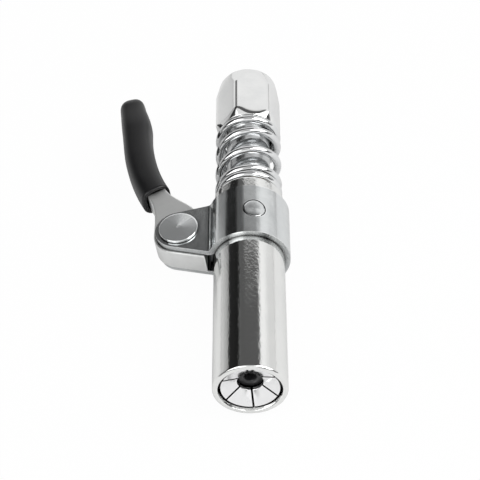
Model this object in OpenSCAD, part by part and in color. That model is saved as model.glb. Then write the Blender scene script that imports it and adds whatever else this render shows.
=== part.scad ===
// Lever-released grease coupler: a spring-loaded sleeve closes six jaws on a grease nipple,
// and pressing the lever draws the sleeve back along the stem so that the jaws let go.
// Origin: centre of the inlet thread's mouth. +Y runs out of the inlet, the nozzle points to -Y,
// +Z is the axis of the lever's rivet, and the lever lies on the -X side.

/* [Jaws] */
// Diameter of the closed jaws' lip, which grips behind a nipple's head
lip_d = 6.2; // [5.6:0.1:6.8]
// Length of the lip's straight land
lip_land = 0.8; // [0.6:0.1:1.2]
// Height of the lip above the jaws' inner wall
lip_h = 0.7; // [0.5:0.05:0.9]
// Wall of a jaw behind its head
jaw_wall = 1.35; // [1.2:0.05:1.5]
// Width of the slit between two jaws
jaw_slit = 0.45; // [0.35:0.05:0.7]
// How far the jaws' front edge lies inside the sleeve's mouth
jaw_set = 0.7; // [0.6:0.1:1]
// Depth of the funnel in the jaws' front
funnel_depth = 2; // [1.6:0.1:2.4]
// Width of the flat edge round the funnel
funnel_edge = 0.25; // [0.15:0.05:0.4]
// Station of the jaws' hinge behind the sleeve's mouth
hinge_n = 21.3; // [20:0.1:23]
// Angle of the first jaw's middle from +X towards +Z
jaw_turn = 59; // [0:1:60]

/* [Sleeve] */
// Outside diameter of the sleeve
sleeve_d = 18; // [17.6:0.1:19.5]
// Length of the sleeve
sleeve_l = 63.2; // [58:0.1:70]
// Wall of the sleeve round the stem
sleeve_wall = 1.6; // [1.5:0.05:1.8]
// Round of the mouth's rim
rim_round = 0.6; // [0.4:0.05:0.7]
// Length of the cone that closes the jaws
cone_l = 5; // [4.5:0.1:5.6]
// Radius that the cone loses for each millimetre of depth
cone_slope = 0.3; // [0.24:0.01:0.32]
// Length of the throat behind the cone
throat_l = 2; // [1.5:0.1:2.5]
// Length of the guide bush in the sleeve's rear end
bush_l = 5.2; // [4:0.1:7]
// Step of the bush's seat in the sleeve's bore
bush_step = 0.2; // [0.15:0.05:0.3]

/* [Stem] */
// Diameter of the stem's neck inside the main spring
neck_d = 11.6; // [11:0.1:12.4]
// Diameter of the grease passage
passage_d = 3.5; // [2.5:0.1:4]
// Length of the stem's nose in front of the heel groove
nose_l = 5; // [4.5:0.1:5.6]
// Width of the groove that holds the jaws' heels
heel_w = 2.6; // [2.2:0.1:3]
// Depth of the groove that holds the jaws' heels
heel_h = 0.7; // [0.5:0.05:0.8]
// Depth of the groove that takes the lever's finger
finger_groove_h = 2.5; // [2.2:0.1:2.8]
// Length of each guiding land on the stem
land_l = 7; // [5:0.5:9]
// Depth of the relief between the guiding lands
relief_h = 0.4; // [0.2:0.1:0.8]
// Length of the spigot inside the inlet body
spigot_l = 6.5; // [5.5:0.1:7]
// Step between the stem's neck and its spigot
spigot_step = 0.6; // [0.4:0.1:0.8]

/* [Inlet body] */
// Hexagon across its flats
hex_af = 16; // [15.6:0.1:17.5]
// Length of the hexagon
hex_l = 19; // [18.4:0.1:24]
// Diameter over the hexagon's turned corners
hex_corner_d = 18.2; // [17.6:0.1:18.4]
// Angle of a corner of the hexagon from +X towards +Z
hex_turn = 43; // [0:1:60]
// Diameter of the hexagon's front face
front_face_d = 15.6; // [15:0.1:16]
// Length of the front chamfer
front_chamfer_l = 2.4; // [1.5:0.1:3]
// Diameter of the hexagon's rear face
rear_face_d = 15.8; // [15:0.1:16]
// Length of the rear chamfer
rear_chamfer_l = 5.5; // [3:0.1:7]
// Diameter of the inlet's thread, at its crests
thread_d = 8.8; // [8.4:0.1:9.2]
// Depth of the inlet's thread
thread_l = 10; // [8:0.1:11]

/* [Springs] */
// Length of the main spring between sleeve and hexagon
spring_l = 25.6; // [23:0.1:30]
// Outside diameter of the main spring
spring_d = 17.7; // [17.6:0.1:18.6]
// Wire of the main spring
wire_d = 2.1; // [1.8:0.1:2.3]
// Closed turns of the main spring against the sleeve
front_turns = 1.4; // [1:0.1:1.6]
// Open turns of the main spring
open_turns = 2.5; // [2:0.1:3.2]
// Closed turns of the main spring against the hexagon
rear_turns = 1; // [0.8:0.1:1.4]
// Angle of the main spring's front end from +X towards +Z
spring_turn = 226; // [0:1:360]
// Wire of the seal's spring
seal_wire_d = 0.6; // [0.5:0.05:0.7]
// Open turns of the seal's spring
seal_turns = 3.5; // [3:0.5:4.5]
// Wire of the garter round the jaws
garter_d = 0.9; // [0.7:0.05:1]

/* [Seal] */
// Depth of the seal's face behind the jaws' lip
seal_depth = 1.4; // [1.3:0.1:2]
// Length of the seal's head
seal_l = 3.8; // [3:0.1:4.2]
// Length of the seal's root inside its carrier
seal_root_l = 2; // [1.5:0.1:2.4]
// Diameter of the hole through the seal
seal_hole_d = 2.9; // [2.4:0.1:3.1]
// Length of the carrier's head
carrier_head_l = 3.6; // [3.2:0.1:4]
// Length of the carrier's piston
piston_l = 3.4; // [3:0.1:4]
// Travel of the seal and its carrier
seal_travel = 3; // [2:0.1:3.2]
// Length of the seal's spring
seal_spring_l = 7.4; // [6.5:0.1:9]
// Thickness of the clip that keeps the carrier in
clip_t = 0.7; // [0.5:0.05:0.8]
// Section of the O-rings
oring_d = 0.9; // [0.8:0.05:1]

/* [Strap and rivet] */
// Sheet that the strap is bent from
strap_t = 1.5; // [1.2:0.1:1.8]
// Width of the strap round the sleeve
strap_w = 16.4; // [15:0.1:18]
// Plain end of the sleeve behind the strap
strap_tail = 4.9; // [3:0.1:7]
// Fillet where an ear leaves the round of the strap
bend_r = 1; // [0.6:0.1:1.5]
// Distance of the pivot outside the sleeve's surface
pivot_out = 8.6; // [8.2:0.1:9.4]
// Distance of the pivot behind the middle of the strap
pivot_back = 0.7; // [0:0.1:2]
// Radius of the ears' round end
ear_r = 6.1; // [5.8:0.1:6.8]
// Diameter of the rivet's shank
rivet_d = 5; // [4:0.1:6]
// Diameter of the rivet's head
rivet_head_d = 10.1; // [8.5:0.1:11]
// Height of the rivet's head
rivet_head_h = 1.1; // [1:0.05:2]
// Diameter of the rivet's closed end
rivet_tail_d = 8; // [7:0.1:9.5]
// Diameter of the pin that keys the strap to the sleeve
pin_d = 5.7; // [4.5:0.1:6.5]
// Angle of that pin from +X towards +Z
pin_turn = 75; // [50:1:100]
// Depth of that pin in the sleeve's wall
pin_depth = 0.9; // [0.5:0.1:1.2]
// Gap round that pin in the strap
pin_gap = 0.12; // [0.05:0.01:0.2]

/* [Lever] */
// Thickness of the lever
lever_t = 5.8; // [5:0.1:6.2]
// Swing of the lever from rest to fully pressed
lever_swing = 18; // [14:1:20]
// Radius of the finger's nose
finger_r = 1.5; // [1.2:0.1:1.7]
// Radius of the hub round the rivet
hub_r = 6.8; // [6:0.1:7]
// Reach of the hub towards the sleeve, from the pivot
hub_reach = 6.6; // [6.2:0.1:7]
// Distance of the neck behind the pivot
neck_back = 15.5; // [15:0.1:18]
// Distance of the neck outside the pivot
neck_out = 6.4; // [5.8:0.1:7.4]
// Angle of the neck to the coupler's axis
neck_lean = 28; // [24:1:32]
// Distance of the lever's tip behind the pivot
tip_back = 56.1; // [50:0.1:62]
// Distance of the lever's tip outside the pivot
tip_out = 15.4; // [15.4:0.1:18]
// Angle of the tip to the coupler's axis
tip_lean = 8; // [5:1:10]
// Width of the steel inside the grip
tang_w = 5.2; // [4.6:0.1:5.8]
// Wall of the dipped grip
grip_wall = 1.25; // [1:0.05:1.5]
// Bare tang between the neck and the grip
grip_lead = 0; // [0:0.1:3]

/* [Hidden] */

// Clearances: a press fit, a running fit, a rocking fit and plain air
fit_c = 0.02;
run_c = 0.07;
rock_c = 0.1;
air = 0.3;
jaw_count = 6;
round_fn = 96;
far = 60;

// Stations are measured along the axis from the sleeve's mouth
overall_l = sleeve_l + spring_l + hex_l;
sleeve_r = sleeve_d / 2;
bore_r = sleeve_r - sleeve_wall;
stem_r = bore_r - run_c;
neck_r = neck_d / 2;
spigot_r = neck_r - spigot_step;
passage_r = passage_d / 2;

// Strap, pivot and finger
strap_n0 = sleeve_l - strap_tail - strap_w;
strap_n1 = sleeve_l - strap_tail;
strap_mid = (strap_n0 + strap_n1) / 2;
strap_r = sleeve_r + strap_t;
side_c = 0.1;
ear_z0 = lever_t / 2 + side_c;
ear_z1 = ear_z0 + strap_t;
pivot_n = strap_mid + pivot_back;
pivot_x = -(sleeve_r + pivot_out);
groove_floor_r = stem_r - finger_groove_h;
finger_tip_c = 0.4;
finger_arm = -pivot_x - groove_floor_r - finger_tip_c - finger_r;
half_swing = lever_swing / 2;
travel = 2 * finger_arm * sin(half_swing);
groove_n = pivot_n + finger_arm * sin(half_swing);
groove_half_w = finger_r + air;
window_half_l = finger_arm * sin(half_swing) + finger_r + 2 * air;

// Jaws, from the lip outwards to the sleeve's mouth
lip_r = lip_d / 2;
lip_n = jaw_set + funnel_depth;
shank_in_r = lip_r + lip_h;
shank_r = shank_in_r + jaw_wall;
throat_n = rim_round + cone_l;
jaw_open = atan(cone_slope * travel / (hinge_n - jaw_set));
throat_r = shank_r + air + (hinge_n - throat_n - travel) * sin(jaw_open);
mouth_r = throat_r + cone_l * cone_slope;
function cone_r(n) = mouth_r - cone_slope * (n - rim_round);
heel_n0 = hinge_n - heel_w / 2;
heel_n1 = hinge_n + heel_w / 2;
heel_c = 0.2;
drum_n = heel_n0 - nose_l - air * 3;
drum_r = bore_r - air - (hinge_n - drum_n) * sin(jaw_open);
drum_in_r = drum_r - jaw_wall;
nose_r = drum_in_r - rock_c;
heel_r = nose_r - heel_h;
nose_n = heel_n0 - nose_l;
garter_n = (drum_n + heel_n0) / 2;
garter_groove_r = drum_r - jaw_wall / 2;

// Seal, its carrier and the pocket in the stem's nose
seal_r = shank_in_r - air;
seal_n0 = lip_n + seal_depth;
seal_n1 = seal_n0 + seal_l;
seal_root_r = seal_r - jaw_wall;
seal_hole_r = seal_hole_d / 2;
pocket_r = seal_r - rock_c;
carrier_hole_r = seal_hole_r - air;
carrier_neck_r = pocket_r - 3 * air;
head_n1 = seal_n1 + carrier_head_l;
clip_n0 = max(head_n1 + seal_travel, nose_n) + air;
clip_n1 = clip_n0 + clip_t;
clip_seat_r = pocket_r + clip_t;
piston_n0 = clip_n1 + rock_c;
piston_n1 = piston_n0 + piston_l;
pocket_n1 = piston_n1 + seal_spring_l;

// Hexagon
hex_n0 = overall_l - hex_l;
socket_n1 = hex_n0 + spigot_l + air;
inlet_ring_n = hex_n0 + 0.6 * spigot_l;
ring_seat_half = 0.65 * oring_d;

// Lever plan, measured from the pivot: +u towards the sleeve, +v towards the inlet
ear_root_u = -pivot_x - sqrt(pow(strap_r, 2) - pow(ear_z1, 2));
ear_front = [ear_root_u, strap_n0 - pivot_n];
ear_rear = [ear_root_u, strap_n1 - pivot_n];
function touch_angle(p, r, side) = atan2(p[1], p[0]) + side * acos(r / norm(p));
function on_circle(r, a) = [r * cos(a), r * sin(a)];
front_angle = touch_angle(ear_front, ear_r, -1);
rear_angle = touch_angle(ear_rear, ear_r, 1);
function lean(a) = [-sin(a), cos(a)];
neck_at = [-neck_out, neck_back];
tip_at = [-tip_out, tip_back];
spine_l = norm(tip_at - neck_at);
neck_pull = 0.3;
tip_pull = 0.46;
spine = [neck_at, neck_at + neck_pull * spine_l * lean(neck_lean),
    tip_at - tip_pull * spine_l * lean(tip_lean), tip_at];
function bezier(p, t) = pow(1 - t, 3) * p[0] + 3 * t * pow(1 - t, 2) * p[1]
    + 3 * t * t * (1 - t) * p[2] + pow(t, 3) * p[3];
function slope(p, t) = pow(1 - t, 2) * (p[1] - p[0]) + 2 * t * (1 - t) * (p[2] - p[1])
    + t * t * (p[3] - p[2]);
function along(p, t) = slope(p, t) / norm(slope(p, t));
function across(p, t) = [-along(p, t)[1], along(p, t)[0]];
spine_steps = 14;
tang_end = 0.93;
grip_at = neck_at + grip_lead * lean(neck_lean);

// A circular arc of points, from angle a0 to a1
function arc(c, r, a0, a1, steps = 6) =
    [for (i = [0:steps]) c + on_circle(r, a0 + (a1 - a0) * i / steps)];

// Turns a profile of [radius, station] points round the coupler's axis
module turned(profile) {
    rotate([-90, 0, 0])
        rotate_extrude($fn = round_fn)
            polygon([for (p = profile) [p[0], p[1] - overall_l]]);
}

// A ring of round wire: mean radius, wire radius and station
module wire_ring(mean_r, wire_r, n) {
    rotate([-90, 0, 0])
        translate([0, 0, n - overall_l])
            rotate_extrude($fn = round_fn)
                translate([mean_r, 0]) circle(r = wire_r, $fn = 32);
}

// A compression spring between two stations: turns holds its closed front turns, its open turns
// and its closed rear turns
module coil_spring(mean_r, wire_r, n0, n1, turns, start, per_turn, sides) {
    closed = 2 * wire_r + fit_c;
    height = n1 - n0 - 2 * wire_r - 2 * fit_c;
    front = turns[0];
    rear = turns[0] + turns[1];
    total = rear + turns[2];
    pitch = (height - (turns[0] + turns[2]) * closed) / turns[1];
    rise = function(u) closed * min(u, front) + pitch * min(max(u - front, 0), turns[1])
        + closed * max(u - rear, 0);
    steps = ceil(total * per_turn);
    points = [for (i = [0:steps], k = [0:sides - 1])
        let (u = total * i / steps, a = start + 360 * u, b = 360 * k / sides,
            r = mean_r + wire_r * cos(b))
        [r * cos(a), r * sin(a), n0 - overall_l + fit_c + wire_r + rise(u) + wire_r * sin(b)]];
    walls = [for (i = [0:steps - 1], k = [0:sides - 1])
        let (j = (k + 1) % sides)
        [i * sides + k, i * sides + j, (i + 1) * sides + j, (i + 1) * sides + k]];
    caps = [[for (k = [sides - 1:-1:0]) k], [for (k = [0:sides - 1]) steps * sides + k]];
    rotate([-90, 0, 0]) polyhedron(points, concat(walls, caps));
}

// Hexagon with turned ends, threaded inlet at the rear and a socket for the stem in front
module inlet_body() {
    drill_tip = thread_d / 2 - passage_r;
    thread_n = overall_l - thread_l;
    color("gainsboro") difference() {
        intersection() {
            rotate([-90, 0, 0]) translate([0, 0, -hex_l]) rotate([0, 0, -hex_turn])
                cylinder(r = hex_af / 2 / cos(30), h = hex_l, $fn = 6);
            turned([[0, hex_n0], [front_face_d / 2, hex_n0],
                [hex_corner_d / 2, hex_n0 + front_chamfer_l],
                [hex_corner_d / 2, overall_l - rear_chamfer_l],
                [rear_face_d / 2, overall_l], [0, overall_l]]);
        }
        turned([[0, hex_n0 - 1], [spigot_r + fit_c, hex_n0 - 1], [spigot_r + fit_c, socket_n1],
            [0, socket_n1]]);
        turned([[0, hex_n0], [passage_r, hex_n0], [passage_r, overall_l], [0, overall_l]]);
        turned([[0, thread_n - drill_tip / 2], [passage_r, thread_n - drill_tip / 2],
            [thread_d / 2, thread_n], [thread_d / 2, overall_l + 1], [0, overall_l + 1]]);
    }
}

// Hollow stem: nose with the jaws' groove, guiding lands, finger groove, neck and spigot
module stem() {
    mid0 = heel_n1 + land_l;
    mid1 = groove_n - groove_half_w - land_l;
    shoulder_n = sleeve_l - bush_l - heel_c;
    spigot_n1 = hex_n0 + spigot_l;
    ring_floor = spigot_r - oring_d - fit_c;
    color("silver") turned([
        [pocket_r, nose_n], [nose_r, nose_n], [nose_r, heel_n0], [heel_r, heel_n0],
        [heel_r, heel_n1], [stem_r, heel_n1], [stem_r, mid0], [stem_r - relief_h, mid0 + relief_h],
        [stem_r - relief_h, mid1 - relief_h], [stem_r, mid1],
        [stem_r, groove_n - groove_half_w], [groove_floor_r, groove_n - groove_half_w],
        [groove_floor_r, groove_n + groove_half_w], [stem_r, groove_n + groove_half_w],
        [stem_r, shoulder_n], [neck_r, shoulder_n], [neck_r, hex_n0], [spigot_r, hex_n0],
        [spigot_r, inlet_ring_n - ring_seat_half], [ring_floor, inlet_ring_n - ring_seat_half],
        [ring_floor, inlet_ring_n + ring_seat_half], [spigot_r, inlet_ring_n + ring_seat_half],
        [spigot_r, spigot_n1], [passage_r, spigot_n1],
        [passage_r, pocket_n1 + pocket_r - passage_r], [pocket_r, pocket_n1],
        [pocket_r, clip_n1 + fit_c], [clip_seat_r + fit_c, clip_n1 + fit_c],
        [clip_seat_r + fit_c, clip_n0 - fit_c], [pocket_r, clip_n0 - fit_c]]);
}

// O-ring between the stem's spigot and the inlet body
module inlet_o_ring() {
    color("black") wire_ring(spigot_r - oring_d / 2, oring_d / 2, inlet_ring_n);
}

// Main spring, which drives the sleeve forward over the jaws
module main_spring() {
    color("lightgrey")
        coil_spring((spring_d - wire_d) / 2, wire_d / 2, sleeve_l, hex_n0,
            [front_turns, open_turns, rear_turns], -spring_turn, 24, 10);
}

// Garter that keeps the jaws' heels in the stem's groove
module jaw_garter() {
    color("grey") wire_ring(garter_groove_r + air + garter_d / 2, garter_d / 2, garter_n);
}

// Open clip in the stem's nose, which stops the seal's carrier
module carrier_clip() {
    clip_gap = 1.6;
    color("dimgrey") difference() {
        turned([[carrier_neck_r + air, clip_n0], [clip_seat_r, clip_n0],
            [clip_seat_r, clip_n1], [carrier_neck_r + air, clip_n1]]);
        translate([0, clip_n0 - 1 - overall_l, -clip_gap / 2]) cube([far, clip_t + 2, clip_gap]);
    }
}

// Spring that presses the seal forward against the nipple
module seal_spring() {
    color("lightgrey") coil_spring(pocket_r - air - seal_wire_d / 2, seal_wire_d / 2,
        piston_n1, pocket_n1, [1, seal_turns, 1], 0, 16, 8);
}

// Rubber seal behind the jaws' lip
module nozzle_seal() {
    edge = 0.4;
    color("#1c1c1e") turned(concat(
        arc([seal_hole_r + edge, seal_n0 + edge], edge, 180, 270),
        arc([seal_r - edge, seal_n0 + edge], edge, 270, 360),
        [[seal_r, seal_n1], [seal_root_r, seal_n1], [seal_root_r, seal_n1 + seal_root_l],
            [seal_hole_r, seal_n1 + seal_root_l]]));
}

// Brass carrier: a head that holds the seal's root, a neck and a piston with its O-ring groove
module seal_carrier() {
    socket_r = seal_root_r + fit_c;
    socket_n = seal_n1 + seal_root_l + fit_c;
    ring_n = (piston_n0 + piston_n1) / 2;
    ring_floor = pocket_r - oring_d - 2 * fit_c;
    color("darkgoldenrod") turned([
        [socket_r, seal_n1 + fit_c], [seal_r, seal_n1 + fit_c], [seal_r, head_n1],
        [carrier_neck_r, head_n1], [carrier_neck_r, piston_n0], [pocket_r - run_c, piston_n0],
        [pocket_r - run_c, ring_n - ring_seat_half], [ring_floor, ring_n - ring_seat_half],
        [ring_floor, ring_n + ring_seat_half], [pocket_r - run_c, ring_n + ring_seat_half],
        [pocket_r - run_c, piston_n1], [carrier_hole_r, piston_n1],
        [carrier_hole_r, socket_n], [socket_r, socket_n]]);
}

// O-ring on the carrier's piston
module carrier_o_ring() {
    color("black") wire_ring(pocket_r - oring_d / 2 - fit_c, oring_d / 2, (piston_n0 + piston_n1) / 2);
}

// Polished sleeve: flared mouth, throat, bore, window for the finger and the bush's seat
module sleeve() {
    relief = bore_r - throat_r;
    bush_n = sleeve_l - bush_l;
    rim_r = min(rim_round, (sleeve_r - mouth_r) / 2);
    color("gainsboro") difference() {
        turned(concat(
            arc([mouth_r + rim_r, rim_r], rim_r, 180, 270),
            arc([sleeve_r - rim_r, rim_r], rim_r, 270, 360),
            [[sleeve_r, sleeve_l - rim_r], [sleeve_r - rim_r, sleeve_l],
                [bore_r + bush_step, sleeve_l], [bore_r + bush_step, bush_n], [bore_r, bush_n],
                [bore_r, throat_n + throat_l + relief], [throat_r, throat_n + throat_l],
                [throat_r, throat_n], [mouth_r, rim_round]]));
        translate([-far, pivot_n - window_half_l - overall_l, -lever_t / 2 - air / 2])
            cube([far, 2 * window_half_l, lever_t + air]);
        pin_bar(pin_d / 2 + fit_c, bore_r + sleeve_wall - pin_depth - fit_c);
    }
}

// Bush pressed into the sleeve's rear end, which guides the stem's neck
module guide_bush() {
    color("tan") turned([
        [neck_r + run_c, sleeve_l - bush_l + fit_c], [bore_r + bush_step - fit_c, sleeve_l - bush_l + fit_c],
        [bore_r + bush_step - fit_c, sleeve_l], [neck_r + run_c, sleeve_l]]);
}

// A radial bar at the pin's place, from a radius outwards
module pin_bar(r, from_r) {
    translate([0, strap_mid - overall_l, 0]) rotate([0, 90 - pin_turn, 0])
        translate([0, 0, from_r]) cylinder(r = r, h = far, $fn = 64);
}

// Solid round bar along the coupler's axis
module axis_bar(r) {
    rotate([-90, 0, 0]) translate([0, 0, -overall_l]) cylinder(r = r, h = overall_l, $fn = round_fn);
}

// Upright round bar at the pivot
module pivot_bar(r, z0, z1) {
    translate([pivot_x, pivot_n - overall_l, z0]) cylinder(r = r, h = z1 - z0, $fn = 64);
}

// Plan of an ear: a round end joined to the strap by its two tangents
module ear_plan() {
    inner_u = -pivot_x;
    circle(r = ear_r, $fn = round_fn);
    polygon([on_circle(ear_r, front_angle), ear_front, [inner_u, ear_front[1]],
        [inner_u, ear_rear[1]], ear_rear, on_circle(ear_r, rear_angle)]);
}

// Fillet of the bend, as a section across the axis: x across and z up
module bend_section() {
    centre_z = ear_z1 + bend_r;
    centre_x = -sqrt(pow(strap_r + bend_r, 2) - pow(centre_z, 2));
    on_ring = [centre_x, centre_z] * strap_r / (strap_r + bend_r);
    difference() {
        polygon([[centre_x, ear_z1], [centre_x, ear_z0], [-sleeve_r, ear_z0], on_ring,
            [centre_x, centre_z]]);
        translate([centre_x, centre_z]) circle(r = bend_r, $fn = 48);
    }
}

// Sheet strap: a band round the sleeve with two ears that carry the rivet
module strap() {
    color("silver") difference() {
        union() {
            difference() {
                turned([[0, strap_n0], [strap_r, strap_n0], [strap_r, strap_n1], [0, strap_n1]]);
                translate([-far, -overall_l, -ear_z0]) cube([far, overall_l, 2 * ear_z0]);
            }
            for (side = [0, 1]) mirror([0, 0, side]) {
                translate([pivot_x, pivot_n - overall_l, ear_z0]) linear_extrude(strap_t) ear_plan();
                translate([0, strap_n1 - overall_l, 0]) rotate([90, 0, 0])
                    linear_extrude(strap_w) bend_section();
            }
        }
        axis_bar(sleeve_r + fit_c);
        pivot_bar(rivet_d / 2 + fit_c, -far, far);
        pin_bar(pin_d / 2 + pin_gap, 0);
    }
}

// Pin that keys the strap to the sleeve, dressed flush with the strap
module strap_pin() {
    color("silver") intersection() {
        pin_bar(pin_d / 2, sleeve_r - pin_depth);
        axis_bar(strap_r);
    }
}

// Rivet through the ears and the lever, with a broad head above and a closed end below
module pivot_rivet() {
    edge = 0.5;
    crown = 0.2;
    tail_h = 1.1;
    head_r = rivet_head_d / 2;
    tail_r = rivet_tail_d / 2;
    color("darkgrey") translate([pivot_x, pivot_n - overall_l, 0])
        rotate_extrude($fn = round_fn) polygon(concat(
            [[0, -ear_z1 - tail_h], [tail_r - tail_h, -ear_z1 - tail_h], [tail_r, -ear_z1 - tail_h / 3],
                [tail_r, -ear_z1 - fit_c], [rivet_d / 2, -ear_z1 - fit_c],
                [rivet_d / 2, ear_z1 + fit_c], [head_r, ear_z1 + fit_c]],
            arc([head_r - edge, ear_z1 + rivet_head_h - crown - edge], edge, 0, 80),
            [[0, ear_z1 + rivet_head_h]]));
}

// One edge of the bar inside the grip: side +1 is the outer edge, -1 the edge near the body
function tang_edge(w, side) = [for (i = [0:spine_steps])
    let (t = tang_end * i / spine_steps) bezier(spine, t) + side * across(spine, t) * w / 2];

// Round end of that bar, between its two edges
function tang_tip(w) = let (a = atan2(across(spine, tang_end)[1], across(spine, tang_end)[0]))
    arc(bezier(spine, tang_end), w / 2, a - 15, a - 165, 10);

function reversed(list) = [for (i = [len(list) - 1:-1:0]) list[i]];

// Plan of the grip's pocket: the bar, started a little in front of the neck
module pocket_plan(w) {
    lead_in = -2 * lean(neck_lean);
    outer = tang_edge(w, 1);
    inner = tang_edge(w, -1);
    polygon(concat([outer[0] + lead_in], outer, tang_tip(w), reversed(inner), [inner[0] + lead_in]));
}

// Plan of the lever: the hub's near side is cut back so that it clears the sleeve when pressed
module lever_plan() {
    front = on_circle(hub_r, front_angle);
    front_dir = [-sin(front_angle), cos(front_angle)];
    front_corner = front + front_dir * (hub_reach - front[0]) / front_dir[0];
    swing_corner = [hub_reach, hub_reach * tan(half_swing)];
    shoulder = swing_corner + (ear_r - swing_corner[1]) * lean(lever_swing);
    left = neck_at + across(spine, 0) * tang_w / 2;
    right = neck_at - across(spine, 0) * tang_w / 2;
    reach = neck_back / 3;
    left_edge = [[-hub_r, 0], [-hub_r, reach], left - reach * lean(neck_lean), left];
    right_edge = [right, right - reach * lean(neck_lean), shoulder + reach * lean(lever_swing), shoulder];
    polygon(concat(
        arc([0, 0], hub_r, front_angle, -180, 16),
        [for (i = [1:7]) bezier(left_edge, i / 8)],
        tang_edge(tang_w, 1), tang_tip(tang_w), reversed(tang_edge(tang_w, -1)),
        [for (i = [1:8]) bezier(right_edge, i / 8)],
        [swing_corner, front_corner]));
}

// Plan of the finger, at rest half the swing behind its square position
module finger_plan() {
    rotate(half_swing)
        polygon(concat([[0, -finger_r]], arc([finger_arm, 0], finger_r, -90, 90, 12), [[0, finger_r]]));
}

// Steel lever: hub on the rivet, finger into the stem's groove, neck and curved tang
module lever() {
    color("darkgrey") difference() {
        translate([pivot_x, pivot_n - overall_l, -lever_t / 2]) {
            linear_extrude(lever_t) lever_plan();
            linear_extrude(lever_t) finger_plan();
        }
        pivot_bar(rivet_d / 2 + run_c, -far, far);
    }
}

// Dipped grip: a rounded section carried along the spine, closed by a round tip
module grip() {
    sides = 24;
    corner = 0.62;
    cap_steps = 5;
    lead = 4;
    half_w = tang_w / 2 + grip_wall;
    half_t = lever_t / 2 + grip_wall;
    function soft(c) = sign(c) * pow(abs(c), corner);
    function ring(at, dir, k) = [for (i = [0:sides - 1])
        let (a = 360 * i / sides, p = at + dir * half_w * k * soft(cos(a)))
        [p[0], p[1], half_t * k * soft(sin(a))]];
    rings = concat(
        [ring(neck_at - lead * lean(neck_lean), across(spine, 0), 1)],
        [for (i = [0:spine_steps]) let (t = tang_end * i / spine_steps)
            ring(bezier(spine, t), across(spine, t), 1)],
        [for (i = [1:cap_steps]) let (a = 85 * i / cap_steps)
            ring(bezier(spine, tang_end) + along(spine, tang_end) * half_w * sin(a) * 1.05,
                across(spine, tang_end), cos(a))]);
    last = len(rings) - 1;
    points = [for (r = rings, p = r) p];
    walls = [for (i = [0:last - 1], k = [0:sides - 1])
        let (j = (k + 1) % sides)
        [i * sides + k, (i + 1) * sides + k, (i + 1) * sides + j, i * sides + j]];
    caps = [[for (k = [0:sides - 1]) k], [for (k = [sides - 1:-1:0]) last * sides + k]];
    color("#242427") translate([pivot_x, pivot_n - overall_l, 0]) difference() {
        polyhedron(points, concat(walls, caps));
        translate([0, 0, -lever_t / 2 - fit_c]) linear_extrude(lever_t + 2 * fit_c)
            pocket_plan(tang_w + 2 * fit_c);
        translate([grip_at[0], grip_at[1], -far / 2]) rotate(neck_lean)
            translate([-far, -far, 0]) cube([2 * far, far, far]);
    }
}

// One jaw: a sixth of a turned collet with a funnel front, gripping lip and hooked heel
module jaw(index) {
    half_angle = 180 / jaw_count;
    apex = [jaw_slit / 2 / sin(half_angle), 0];
    outer = cone_r(jaw_set) - air;
    slope_n = drum_n - (drum_r - shank_r);
    in_slope_n = drum_n - (drum_in_r - shank_in_r);
    tail_n = throat_n + air;
    profile = [
        [outer - funnel_edge, jaw_set], [outer, jaw_set + funnel_edge],
        [cone_r(throat_n) - air, throat_n - air], [shank_r, tail_n],
        [shank_r, slope_n], [drum_r, drum_n],
        [drum_r, garter_n - garter_d], [garter_groove_r, garter_n - garter_d],
        [garter_groove_r, garter_n + garter_d], [drum_r, garter_n + garter_d],
        [drum_r, heel_n1 - heel_c], [heel_r + rock_c, heel_n1 - heel_c],
        [heel_r + rock_c, heel_n0 + heel_c], [drum_in_r, heel_n0 + heel_c],
        [drum_in_r, drum_n], [shank_in_r, in_slope_n],
        [shank_in_r, lip_n + lip_land + lip_h / 2], [lip_r, lip_n + lip_land], [lip_r, lip_n]];
    color("gainsboro") rotate([0, -jaw_turn - 2 * half_angle * index, 0]) intersection() {
        turned(profile);
        rotate([-90, 0, 0]) translate([0, 0, -overall_l]) linear_extrude(far)
            polygon([apex, apex + on_circle(far, -half_angle), apex + on_circle(far, half_angle)]);
    }
}

inlet_body();
stem();
inlet_o_ring();
main_spring();
jaw_garter();
carrier_clip();
seal_spring();
nozzle_seal();
seal_carrier();
carrier_o_ring();
sleeve();
guide_bush();
strap();
strap_pin();
pivot_rivet();
lever();
grip();
for (i = [1:jaw_count]) jaw(i - 1);
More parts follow.
